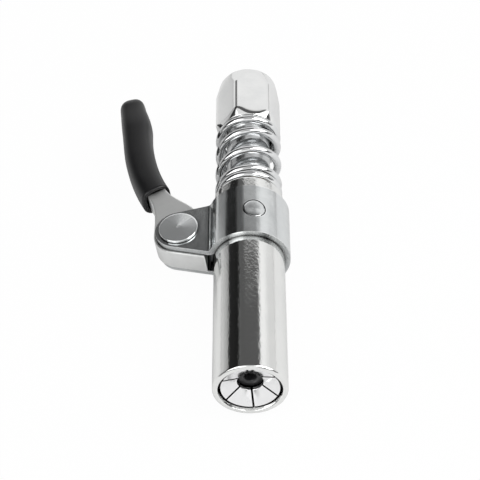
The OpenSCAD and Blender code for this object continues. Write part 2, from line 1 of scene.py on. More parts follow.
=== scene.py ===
import bpy
import numpy as np
from mathutils import Euler, Matrix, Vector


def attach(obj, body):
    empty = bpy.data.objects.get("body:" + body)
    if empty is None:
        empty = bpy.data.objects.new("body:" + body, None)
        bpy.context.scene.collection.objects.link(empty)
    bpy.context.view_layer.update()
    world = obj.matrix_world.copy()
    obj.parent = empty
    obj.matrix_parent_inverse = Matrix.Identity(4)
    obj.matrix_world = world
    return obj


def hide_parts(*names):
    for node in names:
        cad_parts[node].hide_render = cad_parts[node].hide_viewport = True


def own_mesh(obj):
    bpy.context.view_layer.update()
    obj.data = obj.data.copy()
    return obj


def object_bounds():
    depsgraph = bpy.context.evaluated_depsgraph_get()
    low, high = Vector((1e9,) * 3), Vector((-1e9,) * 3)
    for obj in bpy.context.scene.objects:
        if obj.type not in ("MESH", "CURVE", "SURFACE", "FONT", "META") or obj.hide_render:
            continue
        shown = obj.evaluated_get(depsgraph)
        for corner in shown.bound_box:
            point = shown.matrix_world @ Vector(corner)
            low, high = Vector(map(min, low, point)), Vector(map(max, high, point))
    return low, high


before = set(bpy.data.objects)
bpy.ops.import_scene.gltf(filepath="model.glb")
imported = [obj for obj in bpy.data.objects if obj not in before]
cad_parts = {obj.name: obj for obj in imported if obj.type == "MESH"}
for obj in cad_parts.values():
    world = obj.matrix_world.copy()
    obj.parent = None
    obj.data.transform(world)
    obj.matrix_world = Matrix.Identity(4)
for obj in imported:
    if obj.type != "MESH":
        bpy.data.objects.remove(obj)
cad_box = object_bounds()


# The stem: a hollow bar that carries every other piece and brings the grease to the nozzle. It is
# turned from round steel and zinc plated, so fine turning rings run round its neck inside the spring.
def linear(code):
    """sRGB hex to linear colour: c / 12.92 up to 0.04045, and ((c + 0.055) / 1.055) ** 2.4 above."""
    c = np.array([int(code[i:i + 2], 16) for i in (1, 3, 5)]) / 255
    return (*np.where(c <= 0.04045, c / 12.92, ((c + 0.055) / 1.055) ** 2.4), 1.0)


def add(tree, kind, inputs=(), **settings):
    """Adds a shader node: settings are its own options, and an input gets a value or another's socket."""
    made = tree.nodes.new("ShaderNode" + kind)
    for key, value in settings.items():
        setattr(made, key, value)
    for key, value in dict(inputs).items():
        if isinstance(value, bpy.types.NodeSocket):
            tree.links.new(value, made.inputs[key])
        else:
            made.inputs[key].default_value = value
    return made


def finish(name, **sockets):
    """A new material: its Principled shader, with the values that are the same all over set on it."""
    made = bpy.data.materials.new(name)
    made.use_nodes = True
    shader = made.node_tree.nodes["Principled BSDF"]
    for key, value in sockets.items():
        shader.inputs[key.replace("_", " ")].default_value = value
    return made, made.node_tree, shader


def grain(tree, size_mm, detail=2.0, coords="Object"):
    """Noise whose grains measure size_mm along x, y and z (or along u, v and w of the UV map, in mm)."""
    per_unit = 1000.0 if coords == "Object" else 1.0
    place = add(tree, "TexCoord")
    sized = add(tree, "Mapping", {"Vector": place.outputs[coords],
                                  "Scale": [per_unit / s for s in size_mm]})
    return add(tree, "TexNoise", {"Vector": sized.outputs["Vector"], "Scale": 1.0,
                                  "Detail": detail}).outputs["Fac"]


EDGE_REACH, CREVICE_SHADE_REACH = 0.0004, 0.001   # metres that wear reaches from an edge, and painted shade from a corner
WAVE_MM = (2.2, 9.0, 2.2)   # length of the slow wave that buffing leaves, round a tube and along it


def metal(name, colours, rough, lines_mm, depth_um, clouds_mm=5.0, coords="Object", wave_um=0.0,
          metallic=1.0):
    """A worked metal: clouds blend its two colours, handling brightens and smooths its edges and painted
    shade darkens its crevices towards near-black; tool lines raise and roughen it, and a slow wave of a few
    mm bends reflections."""
    made, tree, shader = finish(name, Metallic=metallic)
    clouds = grain(tree, (clouds_mm,) * 3, 3.0)
    tint = add(tree, "Mix", {"Factor": clouds, "A": linear(colours[0]), "B": linear(colours[1])},
               data_type="RGBA").outputs["Result"]
    # an edge is where the solid behind the surface is thin, a crevice where other surfaces are near
    solid = add(tree, "AmbientOcclusion", {"Distance": EDGE_REACH}, samples=4, inside=True, only_local=True)
    worn = add(tree, "MapRange", {"Value": solid.outputs["AO"], "From Min": 0.9,
                                  "From Max": 0.5}).outputs["Result"]
    bright = add(tree, "Mix", {"Factor": worn, "A": tint, "B": tint}, data_type="RGBA", blend_type="SCREEN")
    # painted shade: within 1 mm of other surfaces the colour is mixed towards near-black, as the shade of
    # gaps, crevices and contact lines
    free = add(tree, "AmbientOcclusion", {"Distance": CREVICE_SHADE_REACH}, samples=4)
    unshaded = add(tree, "MapRange", {"Value": free.outputs["AO"], "From Min": 0.48, "From Max": 0.85})
    crevice_shade = add(tree, "Mix", {"Factor": unshaded.outputs["Result"], "A": linear("#1d1c1a"),
                              "B": bright.outputs["Result"]}, data_type="RGBA")
    tree.links.new(crevice_shade.outputs["Result"], shader.inputs["Base Color"])
    lines = grain(tree, lines_mm, 3.0, coords)
    blend = add(tree, "Math", {0: lines, 1: clouds}, operation="ADD")
    spread = add(tree, "MapRange", {"Value": blend.outputs["Value"], "From Min": 0.6, "From Max": 1.4,
                                    "To Min": rough[0], "To Max": rough[1]})
    rubbed = add(tree, "MapRange", {"Value": worn, "To Min": spread.outputs["Result"],
                                    "To Max": 0.8 * rough[0]})
    tree.links.new(rubbed.outputs["Result"], shader.inputs["Roughness"])
    relief = add(tree, "Bump", {"Height": lines, "Strength": 1.0, "Distance": depth_um * 1e-6})
    if wave_um:
        slow = add(tree, "Bump", {"Height": grain(tree, WAVE_MM), "Strength": 1.0,
                                  "Distance": wave_um * 1e-6})
        tree.links.new(slow.outputs["Normal"], relief.inputs["Normal"])
    tree.links.new(relief.outputs["Normal"], shader.inputs["Normal"])
    return made


def dress(made, node):
    """Gives a CAD node that keeps its own shape a material."""
    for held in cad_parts[node].material_slots:
        held.material = made


# Zinc-plated turned steel: bright, with rings 0.3 mm apart left by the tool.
turned_steel = metal("zinc_plated_turned_steel", ("#d2d3d3", "#c2c4c6"), (0.12, 0.24), (9, 0.3, 9), 3)
dress(turned_steel, "stem")


# The seal's carrier: a brass piston in the stem's nose, sealed by a moulded nitrile O-ring and stopped
# by an open clip of spring steel, with a small compression spring behind it.
# Turned brass: warm yellow, with fine rings.
brass = metal("turned_brass", ("#d0a855", "#b98d3c"), (0.18, 0.3), (6, 0.2, 6), 3)
dress(brass, "seal_carrier")

# Nitrile rubber: black and slightly dusty, with a moulded grain of 0.15 mm.
rubber, tree, shader = finish("moulded_nitrile_rubber", Roughness=0.36, Specular_IOR_Level=0.5)
dust = grain(tree, (1.2, 1.2, 1.2), 4.0)
tint = add(tree, "Mix", {"Factor": dust, "A": linear("#222223"), "B": linear("#343435")}, data_type="RGBA")
tree.links.new(tint.outputs["Result"], shader.inputs["Base Color"])
pores = add(tree, "Bump", {"Height": grain(tree, (0.15, 0.15, 0.15)), "Strength": 1.0, "Distance": 8e-6})
tree.links.new(pores.outputs["Normal"], shader.inputs["Normal"])
dress(rubber, "carrier_o_ring")

# Spring steel: bright, with a faint grain of 0.3 mm.
clip_steel = metal("bright_spring_steel", ("#d6d7d8", "#c6c8ca"), (0.1, 0.2), (0.3, 0.3, 0.3), 2)
dress(clip_steel, "carrier_clip")

# Drawn spring wire: brighter, with lines 0.2 mm apart that the die leaves along the wire.
wire_steel = metal("drawn_spring_wire", ("#ececec", "#dcdedf"), (0.03, 0.08), (7, 0.2, 1), 1, 7, "UV")

OVERALL = 107.8   # mm from the sleeve's mouth, station 0, to the inlet's mouth, which is the origin
SEAT_C = 0.02   # mm of room where one piece seats on another, and between a spring's closed turns
EASE_TURNS = 0.3   # turns in which a spring's closed pitch eases into its open one
SHEARED_END = 0.82   # share of the wire's radius on its sheared ends, which are broken by a small round


def sheet_faces(rows, cols, loop_rows=False, loop_cols=False):
    """Faces of a rows x cols grid of points, and each corner's place in the grid for a UV map."""
    i, j = np.meshgrid(np.arange(rows - (not loop_rows)), np.arange(cols - (not loop_cols)), indexing="ij")
    steps = ((0, 0), (0, 1), (1, 1), (1, 0))
    place = np.stack([np.stack([i + a, j + b], -1) for a, b in steps], -2).reshape(-1, 4, 2)
    return place[..., 0] % rows * cols + place[..., 1] % cols, place


def full_turn(count):
    """Angles of count even steps round a circle."""
    return np.linspace(0, 2 * np.pi, count, endpoint=False)


def end_rings(rows, cols):
    """Point numbers of a tube's first and last ring, as the two caps that close it."""
    return [np.arange(cols)[::-1], (rows - 1) * cols + np.arange(cols)]


def piece(name, node, points, faces, body, made, caps=(), sharp=32, uv=None, closed=True,
          bare=None, is_bare=None):
    """Puts a surface into a mesh piece: points in mm, faces and caps as point numbers. A closed one is
    turned outwards by the sign of its volume, the sum of p0 . (p1 x p2) / 6 over its triangles. Faces and
    caps that is_bare marks have a second material."""
    p = np.asarray(points, float).reshape(-1, 3) / 1000
    faces = np.asarray(faces)
    loops = [cap.tolist() for cap in caps]
    if closed:
        fans = [np.stack([np.full(len(c) - 2, c[0]), c[1:-1], c[2:]], 1) for c in loops]
        tri = np.concatenate([faces[:, [0, 1, 2]], faces[:, [0, 2, 3]], *fans])
        if np.einsum("ij,ij->", p[tri[:, 0]], np.cross(p[tri[:, 1]], p[tri[:, 2]])) < 0:
            faces, loops = faces[:, ::-1], [c[::-1] for c in loops]
            uv = None if uv is None else uv[:, ::-1]
    mesh = bpy.data.meshes.new(name)
    mesh.from_pydata(p.tolist(), [], faces.tolist() + loops)
    if uv is not None:
        spare = np.zeros((sum(map(len, loops)), 2))
        mesh.uv_layers.new(name="surface_mm").data.foreach_set(
            "uv", np.concatenate([uv.reshape(-1, 2), spare]).astype(np.float32).ravel())
    mesh.shade_smooth()
    mesh.set_sharp_from_angle(angle=np.radians(sharp))
    mesh.materials.append(made)
    if bare:
        mesh.materials.append(bare)
        mesh.polygons.foreach_set("material_index", is_bare.astype(np.int32))
    obj = bpy.data.objects.new(name, mesh)
    bpy.context.scene.collection.objects.link(obj)
    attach(obj, body)
    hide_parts(node)
    return obj


def smooth(x):
    """0 below 0, 1 above 1, and 3x^2 - 2x^3 between."""
    x = np.clip(x, 0, 1)
    return x * x * (3 - 2 * x)


def coil(name, node, mean_r, wire_r, stations, turns, start, per_turn, sides):
    """A compression spring between two stations: a circle of wire_r carried along a right-hand helix,
    P(u, b) = ((R + r cos b) cos a, rise(u) + r sin b, -(R + r cos b) sin a) with a = start + 2 pi u.
    rise has the wire's own pitch in the closed end turns and eases into the open pitch between."""
    closed, total = 2 * wire_r + SEAT_C, sum(turns)
    u = np.linspace(0, total, int(total * per_turn) + 1)
    is_open = (smooth((u - turns[0]) / EASE_TURNS + 0.5)
               * smooth((total - turns[2] - u) / EASE_TURNS + 0.5))
    lift = np.concatenate([[0], np.cumsum((is_open[1:] + is_open[:-1]) / 2)])
    height = stations[1] - stations[0] - 2 * (wire_r + SEAT_C)
    rise = closed * u + (height - closed * total) * lift / lift[-1]
    r = wire_r * np.where((u == 0) | (u == total), SHEARED_END, 1.0)[:, None]
    a = (np.radians(start) + 2 * np.pi * u)[:, None]
    b = full_turn(sides)
    out = mean_r + r * np.cos(b)
    y = (stations[0] - OVERALL + SEAT_C + wire_r + rise)[:, None] + r * np.sin(b)
    points = np.stack([out * np.cos(a), y, -out * np.sin(a)], -1)
    faces, place = sheet_faces(len(u), sides, loop_cols=True)
    uv = place * (2 * np.pi * mean_r / per_turn, 2 * np.pi * wire_r / sides)
    return piece(name, node, points, faces, "core", wire_steel, end_rings(len(u), sides),
                 uv=uv)


SEAL_SPRING = (19.5, 26.9)   # stations of the seal spring's two ends
seal_spring = coil("seal_spring_wire", "seal_spring", mean_r=2.8, wire_r=0.3, stations=SEAL_SPRING,
                   turns=(1, 3.5, 1), start=0, per_turn=40, sides=12)
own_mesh(seal_spring)


# The nozzle seal: a moulded black rubber bush that the nipple's face presses on, with a hole for the
# grease. Its root is stretched into the carrier, and its front edges are round.
def rounded(corners, radii, steps=6):
    """A closed profile with round corners: the arc of a corner has its centre on the bisector, r /
    sin(half angle) from the corner, and meets the two sides at r / tan(half angle) from it. A round takes
    a little less than half of its shorter side at most."""
    p = np.array(corners, float)
    back, ahead = np.roll(p, 1, 0) - p, np.roll(p, -1, 0) - p
    room = np.minimum(np.linalg.norm(back, axis=1), np.linalg.norm(ahead, axis=1))
    back, ahead = (v / np.linalg.norm(v, axis=1, keepdims=True) for v in (back, ahead))
    half = np.arccos(np.clip((back * ahead).sum(1), -1, 1)) / 2
    r = np.minimum(np.broadcast_to(radii, len(p)), 0.49 * room * np.tan(half))
    middle = back + ahead
    centre = p + middle / np.linalg.norm(middle, axis=1, keepdims=True) * (r / np.sin(half))[:, None]
    begin, end = (p + v * (r / np.tan(half))[:, None] - centre for v in (back, ahead))
    a0 = np.arctan2(begin[:, 1], begin[:, 0])
    sweep = (np.arctan2(end[:, 1], end[:, 0]) - a0 + np.pi) % (2 * np.pi) - np.pi
    a = a0[:, None] + sweep[:, None] * np.linspace(0, 1, steps)
    return (centre[:, None] + r[:, None, None] * np.stack([np.cos(a), np.sin(a)], -1)).reshape(-1, 2)


def turned(radius, station, angle):
    """Points about the coupler's axis: P = (r cos f, n - overall, r sin f)."""
    return np.stack([radius * np.cos(angle), station - OVERALL + 0 * angle, radius * np.sin(angle)], -1)


SEAL_HOLE_R, SEAL_ROOT_R, SEAL_R = 1.45, 2.15, 3.5
SEAL_N, SEAL_BACK_N, SEAL_ROOT_N = 4.1, 7.9, 9.9   # stations of the face, the head's back and the root's end
SEAL_COLUMNS = 72
profile = rounded([(SEAL_HOLE_R, SEAL_N), (SEAL_R, SEAL_N), (SEAL_R, SEAL_BACK_N),
                   (SEAL_ROOT_R, SEAL_BACK_N), (SEAL_ROOT_R, SEAL_ROOT_N), (SEAL_HOLE_R, SEAL_ROOT_N)],
                  (0.4, 0.4, 0.08, 0.08, 0.1, 0.1))
points = turned(profile[:, :1], profile[:, 1:], full_turn(SEAL_COLUMNS))
piece("nozzle_seal_rubber", "nozzle_seal", points, sheet_faces(len(profile), SEAL_COLUMNS, True, True)[0],
      "seal_set", rubber)


# The jaws: a collet of hardened steel, turned in one, plated and sawn into six. Each hooks its heel in
# the stem's groove under a garter of spring wire, and the sleeve's cone holds its lip closed round the
# nipple.
dress(clip_steel, "jaw_garter")
# Saw cuts: painted near-black, which draws the slits black.
sawn_steel = metal("sawn_steel_painted_near_black", ("#2b2925", "#191816"), (0.35, 0.5), (0.2, 0.6, 0.2), 4, 1)
# Plated hard steel: white and bright, slightly soft.
jaw_steel = metal("plated_hardened_steel", ("#fafafa", "#eeeeef"), (0.1, 0.18), (0.8, 0.8, 0.8), 2, 3)
JAW_COUNT, JAW_SLIT, JAW_TURN = 6, 0.45, 59   # number, width of a saw cut in mm, first jaw's angle in degrees
JAW_N, LIP_N, THROAT_N, DRUM_N, GARTER_N, HINGE_N = 0.7, 2.7, 5.6, 14.1, 17.05, 21.3   # stations along a jaw
LIP_R, LIP_LAND, LIP_H, FUNNEL_EDGE = 3.1, 0.8, 0.7, 0.25
JAW_WALL, GARTER_HALF, HEEL_HALF, HEEL_H = 1.35, 0.9, 1.1, 0.7
AIR = 0.3   # mm of free room round the jaws
BORE_R = 7.4   # the sleeve's bore, in which the jaws rock
SLEEVE_TRAVEL, CONE_SLOPE = 3.4, 0.3   # mm that the lever draws the sleeve back, slope of its cone
# The sleeve frees a jaw's front by slope x travel, which gives its rock about the hinge. The throat and
# the drum leave room for that rock.
shank_in_r = LIP_R + LIP_H
shank_r = shank_in_r + JAW_WALL
rock = np.arctan(CONE_SLOPE * SLEEVE_TRAVEL / (HINGE_N - JAW_N))
throat_r = shank_r + AIR + (HINGE_N - THROAT_N - SLEEVE_TRAVEL) * np.sin(rock)
drum_r = BORE_R - AIR - (HINGE_N - DRUM_N) * np.sin(rock)
drum_in_r = drum_r - JAW_WALL
garter_r = drum_r - JAW_WALL / 2


def cone_r(n):
    """Radius of the cone in the sleeve's mouth: the throat's, and the slope for each mm in front of it."""
    return throat_r + CONE_SLOPE * (THROAT_N - n)


front_r = cone_r(JAW_N) - AIR
outer_wall = [
    (front_r - FUNNEL_EDGE, JAW_N), (front_r, JAW_N + FUNNEL_EDGE), (throat_r - AIR, THROAT_N - AIR),
    (shank_r, THROAT_N + AIR), (shank_r, DRUM_N - drum_r + shank_r), (drum_r, DRUM_N),
    (drum_r, GARTER_N - GARTER_HALF), (garter_r, GARTER_N - GARTER_HALF),
    (garter_r, GARTER_N + GARTER_HALF), (drum_r, GARTER_N + GARTER_HALF), (drum_r, HINGE_N + HEEL_HALF)]
inner_wall = [
    (drum_in_r - HEEL_H, HINGE_N + HEEL_HALF), (drum_in_r - HEEL_H, HINGE_N - HEEL_HALF),
    (drum_in_r, HINGE_N - HEEL_HALF), (drum_in_r, DRUM_N), (shank_in_r, DRUM_N - drum_in_r + shank_in_r),
    (shank_in_r, LIP_N + LIP_LAND + LIP_H / 2), (LIP_R, LIP_N + LIP_LAND), (LIP_R, LIP_N)]
JAW_ROUNDS = [0.12, 0.12, 0.3, 0.4] + [0.3] * 2 + [0.08] * 8 + [0.3] * 3 + [0.15, 0.25]   # mm, at each corner
JAW_COLUMNS = 15
profile = rounded(outer_wall + inner_wall, JAW_ROUNDS)
# a sixth of a turn, cut by two planes that lie half a slit from the axis: at radius r the half angle is
# 30 degrees - asin(slit / 2r)
half = np.pi / JAW_COUNT - np.arcsin(JAW_SLIT / 2 / profile[:, :1])
faces, _ = sheet_faces(len(profile), JAW_COLUMNS, loop_rows=True)
row_starts = np.arange(len(profile)) * JAW_COLUMNS
cuts = [row_starts, row_starts[::-1] + JAW_COLUMNS - 1]
is_sawn = np.repeat([0, 1], [len(faces), len(cuts)])
for index in range(JAW_COUNT):
    middle = np.radians(JAW_TURN + 360 / JAW_COUNT * index)
    points = turned(profile[:, :1], profile[:, 1:], middle + half * np.linspace(-1, 1, JAW_COLUMNS))
    jaw = piece(f"jaw_{index + 1}_steel", f"jaw_{index + 1}", points, faces, f"jaw_{index + 1}_set",
                jaw_steel, cuts, bare=sawn_steel, is_bare=is_sawn)
    broken = jaw.modifiers.new("deburred", "BEVEL")
    broken.width, broken.segments, broken.angle_limit = 0.00006, 2, np.radians(50)


# The sleeve: a steel tube that slides on the stem and shuts the jaws with the cone in its mouth. It is
# turned, buffed along its length and nickel plated, with a window for the lever's finger.
# Buffed nickel: nearly a mirror, with fine pits and streaks that break up the edges of its bands.
polished = metal("buffed_nickel_plate", ("#f0f0ee", "#e6e7e6"), (0.05, 0.12), (0.45, 0.9, 0.45), 23, 6,
                 wave_um=38)
# Bored steel painted dark grey: a painted dark reflection, so that a black ring shows inside the mouth.
bore_painted_dark = metal("bore_steel_painted_dark", ("#4a4946", "#2f2e2c"), (0.2, 0.35), (6, 0.25, 6), 4, 2)
SLEEVE_R, SLEEVE_L, THROAT_END = 9.0, 63.2, 7.6
BUSH_R, BUSH_N = 7.6, 58.0   # the guide bush's seat and its station
END_ROWS = (0.9, 62.4)   # stations just inside the rounds of both ends, which keep the shading straight
PIVOT_N = 50.8   # station of the lever's rivet
WINDOW_N0, WINDOW_N1, WINDOW_HALF = PIVOT_N - 3.8, PIVOT_N + 3.8, 3.05   # the window's ends and half width
WINDOW_COLUMNS, TUBE_COLUMNS, SHIFT_FADE = 13, 108, np.radians(60)
NEAR = 1e-3   # mm within which two sizes are the same


def with_stations(profile, stations):
    """Adds points to a closed profile's sides at the given stations: p + t (q - p), where t = (station -
    p's station) / (q's - p's) lies between 0 and 1, in the order of side + t."""
    step = np.roll(profile, -1, 0) - profile
    t = (np.asarray(stations) - profile[:, 1:]) / np.where(step[:, 1:] == 0, np.inf, step[:, 1:])
    side, cut = np.nonzero((t > 1e-6) & (t < 1 - 1e-6))
    t = t[side, cut]
    order = np.argsort(np.concatenate([np.arange(len(profile)), side + t]))
    return np.concatenate([profile, profile[side] + step[side] * t[:, None]])[order]


profile = with_stations(rounded(
    [(cone_r(0), 0), (SLEEVE_R, 0), (SLEEVE_R, SLEEVE_L), (BUSH_R, SLEEVE_L), (BUSH_R, BUSH_N),
     (BORE_R, BUSH_N), (BORE_R, THROAT_END + BORE_R - throat_r), (throat_r, THROAT_END),
     (throat_r, THROAT_N)],
    (0.2, 0.6, 0.5, 0.15, 0.05, 0.05, 0.3, 0.3, 0.3), 8), (*END_ROWS, WINDOW_N0, WINDOW_N1))
# Columns are even round the tube, but for the window's two sides, which are flat and lie at asin(w / r)
# from -x at every radius; the shift fades out over 60 degrees beside them.
edge = np.arcsin(WINDOW_HALF / SLEEVE_R)
inside = np.linspace(-edge, edge, WINDOW_COLUMNS)
f = np.concatenate([inside, np.linspace(edge, 2 * np.pi - edge, TUBE_COLUMNS)[1:-1]])
off = np.abs((f + np.pi) % (2 * np.pi) - np.pi)
shift = np.arcsin(WINDOW_HALF / np.minimum(profile[:, :1], SLEEVE_R)) - edge
f = f + np.where(f <= np.pi, 1, -1) * np.sign(f) * shift * np.where(
    off <= edge, off / edge, 1 - smooth((off - edge) / SHIFT_FADE))
points = turned(-profile[:, :1], profile[:, 1:], f)
columns = f.shape[1]
faces, place = sheet_faces(len(profile), columns, True, True)
row, col = place[:, 0, 0], place[:, 0, 1]
is_wall = np.minimum(np.abs(profile[:, 0] - SLEEVE_R), np.abs(profile[:, 0] - BORE_R)) < NEAR
is_cut = is_wall & (np.abs(profile[:, 1] - PIVOT_N) < WINDOW_N1 - PIVOT_N + NEAR)
last = WINDOW_COLUMNS - 1
gone = is_cut[row] & is_cut[(row + 1) % len(profile)] & (col < last)
# the window's four walls join its rows outside, front and rear, to those in the bore, rear and front
corners = np.flatnonzero(is_cut) * columns
out_front, out_rear, in_rear, in_front = corners[:, None] + np.arange(last)
front = np.stack([out_front + 1, in_front + 1, in_front, out_front], 1)
rear = np.stack([in_rear, in_rear + 1, out_rear + 1, out_rear], 1)
faces = np.concatenate([faces[~gone], front, rear, corners[None, ::-1], corners[None] + last])
# the bore's faces take the painted dark reflection
in_bore = np.hypot(points[..., 0], points[..., 2]).ravel()[faces].mean(1) < (BORE_R + BUSH_R) / 2
piece("sleeve_tube", "sleeve", points, faces, "slider", polished, bare=bore_painted_dark,
      is_bare=in_bore)


# The guide bush in the sleeve's rear end runs on the stem's neck and takes the spring's thrust. It is
# pressed from bronze powder, sintered and oiled, and is a press fit.
# Sintered bronze: dull brown, with open pores of 0.25 mm.
sintered = metal("sintered_bronze", ("#a9824f", "#8f6c3e"), (0.3, 0.45), (0.25, 0.25, 0.25), 5)
dress(sintered, "guide_bush")


# The strap: sheet steel bent round the sleeve, with two ears that make the lever's clevis. It is blanked,
# bent and zinc plated, and a pin through its side keys it to the sleeve.
# Zinc-plated sheet: bright but soft, with faint rolling marks.
zinc = metal("zinc_plated_sheet", ("#e4e6e6", "#d0d3d4"), (0.09, 0.17), (0.9, 2.5, 0.9), 5, 3, wave_um=14)
# Sheared edge of that sheet: duller and rougher.
sheared = metal("sheared_zinc_plated_edge", ("#cfd1d1", "#b4b7b8"), (0.2, 0.34), (0.3, 0.9, 0.3), 9, 1.5)
STRAP_N0, STRAP_N1, STRAP_R, STRAP_T = 41.9, 58.3, 10.5, 1.5   # stations, outer radius, sheet
PIVOT = np.array([-17.6, PIVOT_N - OVERALL, 0])   # mm, the rivet's axis
EAR_R, EAR_TOP, BEND_R = 6.1, 4.5, 1.0
PIN_TURN, PIN_N, PIN_HOLE_R, PIN_R = np.radians(75), 50.1, 3.0, 2.8
PATCH, PATCH_CELLS = 4.6, 12   # the square of sheet round the pin's hole: half of it in mm, cells on a side
RING_LEAD, RING_TAIL, SIDE_CELLS, COLLAR_RINGS = 11, 39, 3, 4   # cells before, behind, beside and in it


def on_circle(r, degrees):
    """A point of a circle about the pivot."""
    return r * np.cos(np.radians(degrees)), r * np.sin(np.radians(degrees))


def touch_angle(p, r, side):
    """Angle at which the line from p touches a circle about the pivot: p's own angle and acos(r / |p|)."""
    return np.degrees(np.arctan2(p[1], p[0]) + side * np.arccos(r / np.hypot(*p)))


def ear_edge(x, root, side):
    """Edge of an ear at distance x from the pivot: the circle up to its touching point, then the
    tangent to the root, and the strap's own edge behind that."""
    touch = on_circle(EAR_R, touch_angle(root, EAR_R, side))
    arc = side * np.sqrt(np.maximum(EAR_R ** 2 - x ** 2, 0))
    return np.where(x < touch[0], arc, np.interp(x, (touch[0], root[0]), (touch[1], root[1])))


# The section is one path: out along the upper ear from its end, round the bend, round the sleeve and
# back along the lower ear.
bend = np.array([-np.sqrt((STRAP_R + BEND_R) ** 2 - (EAR_TOP + BEND_R) ** 2), EAR_TOP + BEND_R])
bend_end = np.degrees(np.arctan2(-bend[1], -bend[0]))
ear_x = np.concatenate([PIVOT[0] - EAR_R * np.cos(np.radians(np.linspace(3, 90, 16))),
                        np.linspace(PIVOT[0], bend[0], 10)[1:-1]])
ear = np.stack([ear_x, np.full(len(ear_x), EAR_TOP)], 1)
fillet = bend + np.stack(on_circle(BEND_R, np.linspace(-90, bend_end, 8)), 1)
ring_from = np.arctan2(bend[1], bend[0])
patch_a = PIN_TURN + np.array([1, -1]) * PATCH / STRAP_R
ring_a = np.concatenate([np.linspace(ring_from, patch_a[0], RING_LEAD + 1)[1:-1],
                         np.linspace(*patch_a, PATCH_CELLS + 1),
                         np.linspace(patch_a[1], -ring_from, RING_TAIL + 1)[1:-1]])
ring = STRAP_R * np.stack([np.cos(ring_a), np.sin(ring_a)], 1)
upper = np.concatenate([ear, fillet])
path = np.concatenate([upper, ring, upper[::-1] * (1, -1)])
x = path[:, 0] - PIVOT[0]
root_u = -PIVOT[0] - np.sqrt(STRAP_R ** 2 - EAR_TOP ** 2)
ear_front, ear_rear = (root_u, STRAP_N0 - PIVOT_N), (root_u, STRAP_N1 - PIVOT_N)
on_ring = x > root_u
low = np.where(on_ring, STRAP_N0 - OVERALL, PIVOT[1] + ear_edge(x, ear_front, -1))
high = np.where(on_ring, STRAP_N1 - OVERALL, PIVOT[1] + ear_edge(x, ear_rear, 1))
station = np.concatenate([np.linspace(STRAP_N0, PIN_N - PATCH, SIDE_CELLS + 1)[:-1],
                          np.linspace(PIN_N - PATCH, PIN_N + PATCH, PATCH_CELLS + 1),
                          np.linspace(PIN_N + PATCH, STRAP_N1, SIDE_CELLS + 1)[1:]])
share = (station - STRAP_N0) / (STRAP_N1 - STRAP_N0)
points = np.stack([np.repeat(path[:, :1], len(share), 1), low[:, None] + (high - low)[:, None] * share,
                   np.repeat(path[:, 1:], len(share), 1)], -1)
faces, place = sheet_faces(len(path), len(share))
first = np.array([len(upper) + RING_LEAD - 1, SIDE_CELLS])   # the square's first row and column
hit = ((place[:, 0] >= first) & (place[:, 0] < first + PATCH_CELLS)).all(1)
# The square round the pin is filled by rings that ease from a circle to the square's own points:
# P(t, k) = circle(k) + (square(k) - circle(k)) t, on the unrolled sheet.
side = np.arange(PATCH_CELLS)
square = np.concatenate([np.stack([0 * side, side], 1), np.stack([side, 0 * side + PATCH_CELLS], 1),
                         np.stack([0 * side + PATCH_CELLS, PATCH_CELLS - side], 1),
                         np.stack([PATCH_CELLS - side, 0 * side], 1)])
rim = (first + square) @ (len(share), 1)
flat = (square / PATCH_CELLS * 2 - 1) * PATCH
hole = flat / np.linalg.norm(flat, axis=1, keepdims=True) * PIN_HOLE_R
t = np.linspace(0, 1, COLLAR_RINGS + 1)[:-1, None, None]
unrolled = hole + (flat - hole) * t


def wrap(unrolled, radius):
    """The unrolled sheet's (along the ring, along the axis) about the pin, put round a radius."""
    return turned(radius, PIN_N + unrolled[..., 1], PIN_TURN - unrolled[..., 0] / STRAP_R)


added = len(path) * len(share) + np.arange(COLLAR_RINGS * len(rim)).reshape(COLLAR_RINGS, -1)
numbers = np.concatenate([added, rim[None]])
spun = np.roll(numbers, -1, 1)
collar = np.stack([numbers[:-1], spun[:-1], spun[1:], numbers[1:]], -1).reshape(-1, 4)
points = np.concatenate([points.reshape(-1, 3), wrap(unrolled, STRAP_R).reshape(-1, 3)])
strap = piece("strap_sheet", "strap", points, np.concatenate([faces[~hit][:, ::-1], collar]), "slider",
              zinc, closed=False)
strap.data.materials.append(sheared)
wall = strap.modifiers.new("sheet", "SOLIDIFY")
wall.thickness, wall.offset, wall.use_even_offset = STRAP_T / 1000, -1.0, True
wall.material_offset_rim = 1
broken = strap.modifiers.new("blanked_edge", "BEVEL")
broken.width, broken.segments, broken.angle_limit = 0.00032, 3, np.radians(50)
broken.harden_normals = True


# The strap's pin: a plain steel pin driven through the strap into the sleeve, which keys them together.
# It is ground flush and plated with the strap, so only a fine ring shows round it.
PIN_COLUMNS = 96
share = np.array([0.15, 0.5, 0.85, 0.955, 0.985, 1.0, 1.0])   # of the pin's radius, from its middle outwards
depth = np.array([0, 0, 0, 0.01, 0.06, 0.16, 2.3])   # mm below the strap's surface, over the broken edge
around = full_turn(PIN_COLUMNS)
disc = PIN_R * share[:, None, None] * np.stack([np.cos(around), np.sin(around)], -1)
piece("strap_pin_head", "strap_pin", wrap(disc, (STRAP_R - depth)[:, None]),
      sheet_faces(len(share), PIN_COLUMNS, loop_cols=True)[0], "slider", zinc,
      end_rings(len(share), PIN_COLUMNS))


# The lever: a thick steel forging, satin from tumbling and zinc plated. Its hub turns on the rivet between
# the ears, its finger reaches through the sleeve's window, and its tang carries the grip.
# Tumbled steel under zinc: an even satin grey, with a fine grain and no mirror.
lever_steel = metal("tumbled_zinc_plated_steel", ("#e9eae9", "#dcdddc"), (0.4, 0.52), (0.35, 0.35, 0.35),
                    5, 2.5)
LEVER_T, LEVER_ROUND = 5.8, 0.35
HUB_R, HUB_REACH, HALF_SWING = 6.8, 6.6, 9
FINGER_R, FINGER_ARM = 1.5, 10.87   # radius of the finger's nose and its distance from the pivot
